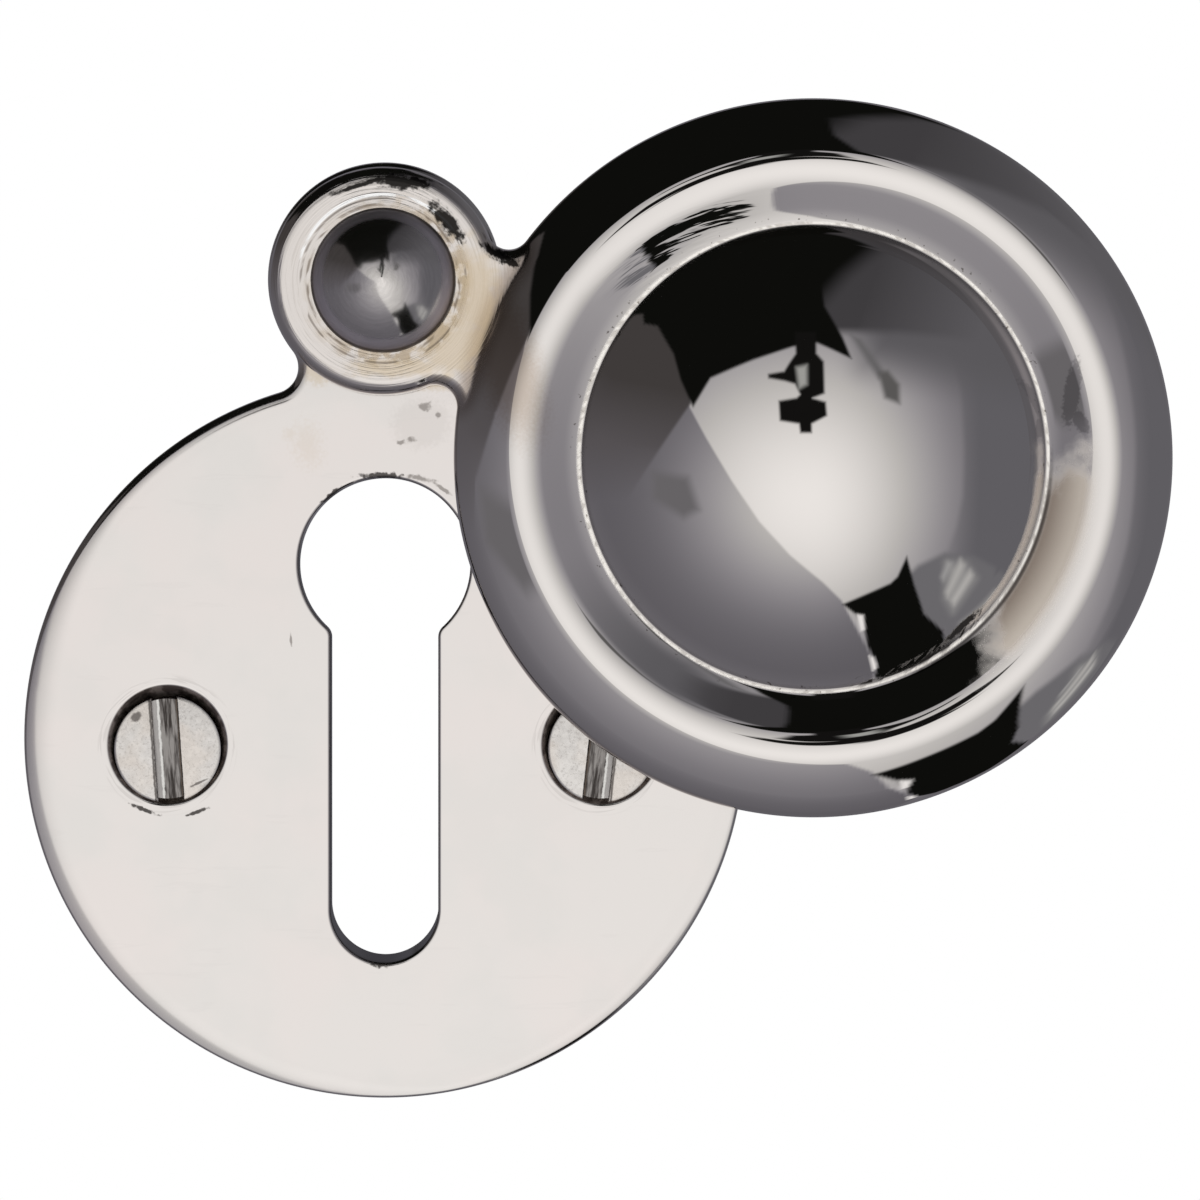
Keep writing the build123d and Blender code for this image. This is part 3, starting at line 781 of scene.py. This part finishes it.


# Plated casting, polished to a mirror: its waves bend what it reflects. Polish has dried in the
# crease, and years of turning have scratched and browned the ear round the pin.
# Painted shade darkens the dome just inside the crease and rings in the pin's recess, and a painted
# highlight whitens the recess's upper edge.
def mirrorNickelCover():
    material, tree = startMaterial("mirrorNickelCover")
    s = coverSizes
    turn = radians(s["swing"])
    x, up = s["earDistance"] * sin(turn), s["pivotUp"] - s["earDistance"] * cos(turn)
    crease, pin = s["creaseAt"], (0, s["pivotUp"])
    fromMiddle, fromPin = distanceFrom(tree, x, up), distanceFrom(tree, *pin)
    fine, haze = grain(tree, 7.0, 4.0), grain(tree, 0.8, shift=0.3)
    onEar = band(tree, fromMiddle, s["radius"] - 0.6, None, 0.25)
    onEar = band(tree, fromPin, None, 6.4, 0.5, onEar)

    # a film of old polish, brown at the crease and paler outwards, low on the right of the moulding
    film = marks(tree, [(x + 10.5, up - 4.7, 1.9, 4.9, -24)], haze, 0.8, 0.3)
    film = band(tree, fromMiddle, crease, 12.7, 0.45, film)
    outwards = addNode(tree, mapped, {"Value": fromMiddle, "From Min": 10.8, "From Max": 12.2})
    neck = marks(tree, [(x - 13.9, up + 4.4, 1.3, 3.4, 16)], fine, 0.5, 0.5)
    smudges = [(x + 11.7, up + 2.9, 0.35, 1.5, -8), (x + 12.1, up + 1.6, 0.3, 0.6, 30)]

    # the crease: polish and dirt in it, painted shade just inside it, darkest low on the right
    rings = ringClouds(tree, x, up, 2.0, 30.0)
    # painted shade: the dome darkened just inside the crease
    creaseShade = band(tree, fromMiddle, crease - 0.2, crease + 0.02, 0.1)
    thicker = marks(tree, [(x - 9.0, up + 0.6, 3.6, 8.5, -8)], soft=0.3)
    thicker = band(tree, fromMiddle, crease - 0.05, crease + 0.13, 0.05, thicker)
    residue = band(tree, fromMiddle, crease - 0.02, crease + 0.1, 0.04)
    residue = addNode(tree, maths, [residue, thicker], most)
    # near-black just past the crease, low on the right
    darkPastCrease = marks(tree, [(x + 8.6, up - 6.2, 3.0, 6.4, -36)], rings, 0.5, 0.3)
    loose = patches(tree, 0.68, 0.03, 4.5)
    # near-black spots just inside the crease low on the right, and with them a dark spike across it
    darkInCrease = band(tree, ringClouds(tree, x, up, 2.6, 15.0), 0.55, None, 0.03)
    darkInCrease = band(tree, fromMiddle, crease - 0.42, crease - 0.04, 0.1, darkInCrease)
    darkInCrease = marks(tree, [(x + 5.0, up - 9.2, 3.6, 1.7, 34)], soft=0.2, within=darkInCrease)
    spike = marks(tree, [(x + 6.7, up - 7.7, 1.1, 0.15, 44)], fine, 1.2, 0.3)
    darkInCrease = addNode(tree, maths, [darkInCrease, spike], most)

    # the ear, scratched in rings and browned where it turns
    turned = ringClouds(tree, *pin, 7.0, 1.6)
    joint = band(tree, fromMiddle, s["radius"] - 0.9, s["radius"] + 0.1, 0.45)
    joint = band(tree, fromPin, None, 7.0, 0.6, joint)
    brown = band(tree, fromPin, None, 3.95, 0.3)
    brown = band(tree, grain(tree, 1.5, 5.0), 0.46, None, 0.08, brown)
    brown = marks(tree, wearAndShade["earBrown"], haze, 0.8, 0.4, brown)
    tarnish = marks(tree, wearAndShade["earTarnish"], grain(tree, 1.6, 4.0), 1.6, 0.5, onEar)
    scraped = addNode(tree, maths, [turned, 0.6, grain(tree, 3.4, 4.0)], timesPlus)
    scraped = addNode(tree, maths, [scraped, 0.62], times)
    dark = marks(tree, wearAndShade["earStains"] + wearAndShade["earSpecks"], scraped, 3.0, 0.3)

    # the recess round the pin: a painted highlight in white on its upper edge, and broken rings of painted
    # shade inside it
    upper = addNode(tree, parted, [about(tree, *pin, turn=6)]).outputs[2]
    upperSide = band(tree, upper, 1.3, None, 0.5)
    broken = ringClouds(tree, *pin, 1.2, 2.6)
    # painted highlight: white on the recess's upper edge only
    recessGlint = band(tree, fromPin, 3.84, 3.97, 0.025, upperSide)
    recessGlint = band(tree, broken, 0.42, None, 0.05, recessGlint)
    # painted shade: broken dark rings inside the recess, round the pin's head
    below = band(tree, broken, 0.5, None, 0.05, band(tree, fromPin, 3.7, 3.8, 0.04))
    inner = band(tree, broken, None, 0.52, 0.05, band(tree, fromPin, 3.4, 3.52, 0.05))

    colour = paint(
        tree, nickelTint,
        (paint(tree, "#5b4d41", ("#9c9389", outwards)), film, 0.95),
        ("#b09a84", neck, 0.55),
        ("#8f8b8a", marks(tree, smudges, fine, 0.9, 0.2), 0.6),
        ("#8d8784", creaseShade, 0.45),
        (paint(tree, "#d2cec8", ("#6f675f", band(tree, rings, 0.54, None, 0.08), 0.5)), residue, 0.85),
        ("#241c17", band(tree, fromMiddle, crease + 0.1, crease + 0.26, 0.07, darkPastCrease), 0.85),
        ("#5f564d", band(tree, fromMiddle, crease - 0.3, crease + 0.4, 0.1, loose), 0.7),
        ("#14100d", darkInCrease, 0.92),
        ("#a39a8e", band(tree, turned, 0.6, 0.66, 0.03, onEar), 0.4),
        ("#dcd4ce", onEar, 0.5),
        ("#86705c", joint, 0.6),
        ("#bda47c", brown, 0.6),
        ("#d0b992", tarnish, 0.5),
        ("#5d5146", below, 0.6),
        ("#6a5a49", inner, 0.7),
        ("#ffffff", recessGlint, 0.9),
        ("#120f0d", dark, 0.96))
    roughness = paint(
        tree, 0.012, (0.3, film), (0.16, creaseShade), (0.45, residue), (0.4, darkInCrease), (0.2, joint),
        (0.16, onEar, 0.5), (0.3, brown), (0.35, dark))

    # waves from the polishing wheel, the last bit of the dome, which it left a little flatter before
    # the crease, coarser waves on the moulding's inner fall, and the ear's scratches
    front = addNode(tree, maths, [1.0, facingDoor(tree)], less)
    flatter = addNode(tree, mapped, {"Value": fromMiddle, "From Min": crease - 0.83, "From Max": crease})
    flatter = addNode(tree, maths, [flatter, 2.0], {"operation": "POWER"})
    flatter = addNode(tree, maths, [flatter, front], times)
    steeper = addNode(tree, mapped, {"Value": fromMiddle, "From Min": 11.2, "From Max": 12.4})
    fall = addNode(tree, maths, [ringClouds(tree, x, up, 0.95, 3.6), 0.85, steeper], timesPlus)
    fall = marks(tree, [(x - 6.3, up + 9.7, 3.7, 1.3, 31)], soft=0.35, within=fall)
    scored = addNode(tree, maths, [turned, onEar], times)
    veil = addNode(tree, maths, [residue, film], most)
    veil = addNode(tree, maths, [veil, front], times)
    finishShader(
        tree, *roughBack(tree, colour, roughness),
        [(grain(tree, 0.14, 2.0), 9e-6, 1.0), (flatter, 1.15e-4, 1.0),
         (fall, 3e-5, 1.0), (scored, 1.4e-5, 1.0)],
        paint(tree, 1.0, (0.3, veil)))
    return material


# Plated rivet: its dome is a mirror, and its rim has been rubbed dull and purple grey.
def rubbedNickelPin():
    material, tree = startMaterial("rubbedNickelPin")
    s = pinSizes
    far = distanceFrom(tree, 0, s["up"])
    rim = band(tree, far, s["rimFrom"], None, 0.12)
    worn = band(tree, ringClouds(tree, 0, s["up"], 5.0, 3.0), 0.5, None, 0.15)
    # painted shade round the head's outermost edge, where it meets the recess
    edge = band(tree, far, s["headRadius"] - 0.12, None, 0.05)
    colour = paint(tree, "#e0dbd7", ("#d9d2d8", rim, 0.9), ("#8f8889", worn, 0.12), ("#4a423b", edge, 0.85))
    roughness = paint(tree, 0.13, (0.5, rim))
    finishShader(tree, *roughBack(tree, colour, roughness), [(grain(tree, 0.9, 2.0), 5e-6, 1.0)])
    return material


# Plated steel screws: turned heads gone a little dull, slots full of old polish and dirt, and
# edges burred by a screwdriver.
# Painted highlight along one side of each slot's floor; painted shade along the slots' edges, round the
# heads' rims and below their faces.
def turnedNickelScrews():
    material, tree = startMaterial("turnedNickelScrews")
    s = screwSizes
    half = s["slotWidth"] / 2
    grimeAndShadeEnd = -9.0  # how far down a screw the slot's dirt and the painted shade below the face show, from its face
    place = addNode(tree, "ShaderNodeAttribute", settings={"attribute_name": "slotPlace"}).outputs["Vector"]
    sideways, along, outward = addNode(tree, parted, [place]).outputs
    streaks = addNode(tree, mapping, {"Vector": place, "Scale": (6.0, 0.7, 2.0)})
    streaks = addNode(tree, noise, {"Vector": streaks, "Scale": 1.0, "Detail": 3.0})
    fine, mottle = grain(tree, 5.0, 4.0), grain(tree, 4.0, 4.0, shift=0.4)
    wobble = addNode(tree, maths, [fine, 0.12, sideways], timesPlus)
    across = addNode(tree, maths, [wobble], {"operation": "ABSOLUTE"})
    inSlot = band(tree, across, None, half + 0.12, 0.03)
    inSlot = band(tree, outward, grimeAndShadeEnd, -0.08, 0.02, inSlot)
    flatPlace = addNode(tree, vector, [sideways, along])
    far = addNode(tree, vectorMaths, [flatPlace], lengthOf).outputs["Value"]
    # painted shade on the screw below its face, inside the countersink
    outside = band(tree, outward, grimeAndShadeEnd, -0.09, 0.02, band(tree, across, half, None, 0.02))
    # the slot's floor: streaks of old polish and dirt, and a painted highlight along one side
    floor = paint(
        tree, "#77726f",
        ("#aaa5a1", band(tree, streaks, 0.5, None, 0.08)),
        ("#4b4643", band(tree, streaks, None, 0.4, 0.05)),
        # painted highlight along one side of the slot's floor
        ("#c9c5c2", band(tree, wobble, -half, -0.2, 0.04), 0.75),
        ("#fffdf8", band(tree, wobble, -0.3, -0.2, 0.03), 0.9))
    colour = paint(
        tree, "#e6e2de",
        ("#b5afa9", grain(tree, 3.0, 6.0, shift=0.6), 0.5),
        ("#a59f9a", patches(tree, 0.6, 0.05, 9.0, 3.0, 0.3), 0.35),
        ("#ddd0c3", patches(tree, 0.52, 0.1, 0.5, 2.0, 0.1), 0.35),
        ("#5c5552", marks(tree, wearAndShade["screwNicks"], fine, 1.2, 0.3), 0.8),
        (floor, inSlot),
        # painted shade along the slot's edges
        ("#4e4845", band(tree, across, half - 0.01, half + 0.1, 0.03), 0.85),
        # painted shade round the head's rim
        ("#5a524d", band(tree, far, s["headRadius"] - 0.02, None, 0.03), 0.6),
        ("#75695f", outside, 0.9))
    roughness = paint(tree, 0.14, (0.26, band(tree, mottle, 0.45, None, 0.1)), (0.42, inSlot))
    turnings = addNode(tree, vector, [far])
    turnings = addNode(tree, noise, {"Vector": turnings, "Scale": 7.0, "Detail": 2.0})
    finishShader(tree, colour, roughness, [(turnings, 3e-6, 1.0), (mottle, 4e-6, 1.0)])
    return material


# ---- studio: what the mirror finish shows. Its chart is flat, like a fisheye picture taken from
# the object: the camera in the middle, and degrees off it to the right and downwards.

studioSizes = {
    "radius": 2.0, "turnSteps": 540,
    "glowDown": 14.0, "glowHigh": 57.0, "glowRight": 45.0, "glowLeft": 64.0,
    "cardLight": 0.76, "roomLight": 0.46, "roomFloor": 0.1, "sideFloor": 0.118,
}

# The lit card round the camera: cut straight at its lower left, where the room shows past it.
litCard = [(-43, -19), (-37, -8), (-28, 7), (-18, 22), (-7, 34), (5, 44), (12, 51), (30, 84), (40, 150),
           (150, 150), (150, -150), (-150, -150), (-44, -21)]

leftWall = [(-43, -21), (-59, 1), (-69, 14.5), (-120, 60), (-120, -120), (-40, -120)]

# Flat things in the studio, each over the ones before it: corners, the colour as the nickel mirrors
# it, the blur of the edges in degrees, and for some, where they start and where they are whole.
studioCards = [
    # the end of the lit part, far on the right
    ([(51, -44), (55.3, -26), (56.2, -4), (56, 13), (54, 24), (50, 36), (80, 60), (120, 40), (120, -60)],
     "#5f5d61", 1.6, ((47, 0), (63, 0))),
    # unlit walls, on the left and high on the right
    (leftWall, "#545052", 0.8, ((-62, 16), (-60, -6))),
    (leftWall, "#3f3b3a", 0.8, ((-61, -4), (-55, -28))),
    ([(20, -34), (100, -24), (120, -120), (0, -120)], "#5a585b", 12),
    ([(9, -46), (32, -46.5), (90, -44), (90, -120), (0, -110), (0, -60)], "#3e3c3e", 2.5,
     ((64, -44), (22, -60))),
    # a dark board over the camera, and a stand that comes down from it before the card
    ([(-42, -19.5), (-35.5, -30), (-20, -36), (-6, -40.5), (2.5, -42), (15, -36), (12, -44), (6, -56),
     (4.5, -72), (5, -83), (25, -86), (40, -100), (20, -130), (-60, -120), (-110, -70), (-76, -58),
     (-57, -52), (-50, -40), (-47, -30)], "#0d0d0b", 0.7),
    ([(0, -52), (4, -57), (14, -69), (28, -82), (50, -104), (0, -125), (-20, -80)], "#0d0d0b", 5),
    ([(-5, -46), (2.5, -46), (2.5, -38), (5, -35), (5.2, -23.5), (1, -21.9), (5.6, -20.5), (6, -15.5),
     (0.6, -12.6), (0.6, -9.4), (-3.4, -9.4), (-3.8, -12.6), (-10.6, -13.8), (-11, -21), (-4.7, -22),
     (-3.4, -23.2), (-5.2, -27), (-8.8, -28.1), (-14.6, -29.2), (-14.7, -30.7), (-9, -31.6), (-7.2, -34.5),
     (-4.8, -38)], "#121110", 0.7),
    ([(-4.7, -33), (-0.9, -33.8), (-0.9, -26.8), (-3.8, -25.2)], "#9a9995", 1.2),
    # a lit wall low on the right, and a dark stand with a bright edge before it
    ([(35, 43), (40, 38), (50, 33.5), (62, 35), (72, 40), (74, 56), (64, 66), (44, 62)], "#69676a", 1.6),
    ([(51, 37), (59, 38), (64, 44), (56, 57), (52, 51)], "#8e8c8b", 3.5),
    ([(61, 40.5), (62.5, 42.5), (56, 54), (54.5, 52)], "#aeaba8", 1.9),
    ([(56.5, 36), (58.5, 38.5), (53, 51), (51.8, 48.5)], "#aaa7a4", 1.9),
    ([(51.5, 37), (53, 37.5), (50.5, 44), (49.5, 42.5)], "#9c9a99", 1.9),
    ([(35.5, 34.5), (32.5, 42), (30, 44.5), (12.5, 52.5), (17.5, 56.5), (21.5, 64), (23, 70), (29, 80),
     (40, 96), (62, 98), (60, 76), (56, 67), (52, 64), (44, 57), (39, 45)], "#0d0d0b", 0.7),
    ([(18, 56.5), (20.5, 57), (21.5, 63), (20, 63.5)], "#e6e1de", 0.8),
    ([(24, 74), (26, 75), (28.5, 81), (26.5, 82)], "#e6e1de", 0.8),
    # faint things in the room's left and right
    ([(15, -45), (18.5, -43.5), (27, -31), (24.5, -29)], "#636162", 1.6),
    ([(24.5, -31), (28, -32), (32, -27), (32, -20), (26.5, -22)], "#585655", 1.4),
    ([(-58, 4), (-44, 6), (-40, 18), (-46, 21), (-58, 14)], "#666365", 2.5),
]


def partWay(right, down, start, end):  # how far along from one place to another, 0 to 1
    (x0, y0), (x1, y1) = start, end
    along = ((right - x0) * (x1 - x0) + (down - y0) * (y1 - y0)) / ((x1 - x0) ** 2 + (y1 - y0) ** 2)
    return np.clip(along, 0, 1)


def onCard(right, down, corners, soft):  # 1 on the card, 0 off it, with soft edges
    inside = np.zeros(right.shape, bool)
    nearest = np.full(right.shape, np.inf)
    for start, end in zip(corners, corners[1:] + corners[:1]):
        (x0, y0), (x1, y1) = start, end
        along = partWay(right, down, start, end)
        far = np.hypot(right - x0 - along * (x1 - x0), down - y0 - along * (y1 - y0))
        nearest = np.minimum(nearest, far)
        if y0 != y1:
            crosses = (y0 > down) != (y1 > down)
            inside ^= crosses & (right < x0 + (down - y0) * (x1 - x0) / (y1 - y0))
    t = np.clip((np.where(inside, nearest, -nearest) / soft + 1) / 2, 0, 1)
    return (t * t * (3 - 2 * t))[..., None]


def studioColours(right, down):  # the light that comes from each place on the chart
    s = studioSizes
    nickel = np.array(hexColour(nickelTint)[:3])
    reach = np.where(right > 0, s["glowRight"], s["glowLeft"])
    glow = np.exp(-((right / reach) ** 2) - ((down - s["glowDown"]) / s["glowHigh"]) ** 2)
    card = np.hypot(s["cardLight"] * glow, s["sideFloor"])
    room = s["roomFloor"] + s["roomLight"] * glow**3
    light = room + (card - room) * onCard(right, down, litCard, 0.6)[..., 0]
    pale = np.clip((light[..., None] - 0.1) / 0.35, 0, 1)
    violet = np.array((1.02, 1.0, 1.15))  # unlit walls look a little violet
    seen = light[..., None] * (violet + (1 - violet) * pale) / nickel[1]
    for corners, shade, soft, *fades in studioCards:
        colour = np.array(hexColour(shade)[:3]) / nickel
        amount = onCard(right, down, corners, soft)
        for start, end in fades:
            amount = amount * partWay(right, down, start, end)[..., None]
        seen = seen + (colour - seen) * amount
    return seen


def makeStudio():
    world = bpy.data.worlds.new("paleStudio")
    bpy.context.scene.world = world
    world.use_nodes = True
    tree = world.node_tree
    tree.nodes.clear()
    ray = addNode(tree, "ShaderNodeLightPath").outputs
    mirror = addNode(tree, maths, [ray["Is Glossy Ray"], ray["Is Transmission Ray"]], most)
    white = addNode(tree, maths, [ray["Is Camera Ray"], mirror], most)
    level = addNode(tree, mapped, {"Value": white, "To Min": 0.9, "To Max": 1.0})
    shine = addNode(tree, "ShaderNodeBackground", {"Color": (1, 1, 1, 1), "Strength": level})
    addNode(tree, "ShaderNodeOutputWorld", {"Surface": shine})

    # the room: a ball round the object that only mirror rays meet, painted by the chart
    s = studioSizes
    fineTo = 96  # degrees off the camera, past which nothing sharp is seen
    tilts = np.concatenate([np.arange(0.5, fineTo, 0.5), np.arange(fineTo, 180, 3.0)])
    turns = np.arange(s["turnSteps"]) * tau / s["turnSteps"]
    tilt, turn = np.meshgrid(tilts, turns, indexing="ij")
    colours = studioColours(tilt * np.cos(turn), tilt * np.sin(turn)).reshape(-1, 3)
    t = np.radians(tilt)
    places = np.stack([np.sin(t) * np.cos(turn), -np.cos(t), -np.sin(t) * np.sin(turn)], -1)
    places = places.reshape(-1, 3) * s["radius"]
    front, back = len(places), len(places) + 1
    places = np.vstack([places, [(0, -s["radius"], 0), (0, s["radius"], 0)]])
    colours = np.vstack([colours, studioColours(np.array([0.0]), np.array([0.0])), colours[-1:]])
    n = s["turnSteps"]
    rows = np.arange(len(tilts) * n).reshape(-1, n)
    nextRows = np.roll(rows, -1, axis=1)
    quads = np.stack([rows[:-1], nextRows[:-1], nextRows[1:], rows[1:]], -1).reshape(-1, 4).tolist()
    caps = [(front, int(b), int(a)) for a, b in zip(rows[0], nextRows[0])]
    caps += [(back, int(a), int(b)) for a, b in zip(rows[-1], nextRows[-1])]
    mesh = bpy.data.meshes.new("studioMesh")
    mesh.from_pydata(places.tolist(), [], quads + caps)
    layer = mesh.attributes.new("wallLight", "FLOAT_COLOR", "POINT")
    colours = np.hstack([colours, np.ones((len(colours), 1))]).astype(np.float32)
    layer.data.foreach_set("color", colours.ravel())
    room = linkObject("studioRoom", mesh)
    material, tree = startMaterial("studioWalls")
    painted = addNode(tree, "ShaderNodeAttribute", settings={"attribute_name": "wallLight"})
    glowing = addNode(tree, "ShaderNodeEmission", {"Color": painted.outputs["Color"], "Strength": 1.0})
    addNode(tree, "ShaderNodeOutputMaterial", {"Surface": glowing})
    material.cycles.emission_sampling = "NONE"  # only mirror rays find the walls
    mesh.materials.append(material)
    room.visible_camera = room.visible_diffuse = False
    room.visible_shadow = room.visible_volume_scatter = False
    print("studio: room of", len(mesh.polygons), "faces")


def makeStage():
    floor = bpy.data.meshes.new("floorMesh")
    half, low = 0.2, -0.045
    corners = [(-half, -half, low), (half, -half, low), (half, half, low), (-half, half, low)]
    floor.from_pydata(corners, [], [(0, 1, 2, 3)])
    piece = linkObject("paleFloor", floor)
    piece.visible_glossy = False  # the mirror finish shows the studio's walls in its place
    material, tree = startMaterial("palePaper")
    paper = addNode(tree, "ShaderNodeBsdfDiffuse", {"Color": (0.86, 0.86, 0.86, 1.0)})
    addNode(tree, "ShaderNodeOutputMaterial", {"Surface": paper})
    floor.materials.append(material)
    for place, power in (((-0.35, -0.5, 0.55), 6.0), ((0.45, -0.35, 0.4), 3.0)):
        lamp = bpy.data.lights.new("softLamp", "AREA")
        lamp.energy, lamp.size = power, 0.5
        holder = linkObject("softLamp", lamp)
        holder.location = place
        holder.rotation_euler = (-Vector(place)).to_track_quat("-Z", "Y").to_euler()
        holder.visible_glossy = False


def makeCamera():
    camera = bpy.data.cameras.new("photoCamera")
    camera.sensor_width = 36
    camera.lens = 229.6
    camera.clip_start, camera.clip_end = 0.01, 10
    holder = linkObject("photoCamera", camera)
    holder.location = (0.00986, -0.3522, 0.00682)
    holder.rotation_euler = (quarter, 0, 0)
    bpy.context.scene.camera = holder


makeBackplate(buffedNickelPlate())
makeCover(mirrorNickelCover())
makePin(rubbedNickelPin())
makeScrews(turnedNickelScrews())
makeStudio()
makeStage()
makeCamera()
bpy.context.scene.view_settings.view_transform = "Standard"
print("scene built")
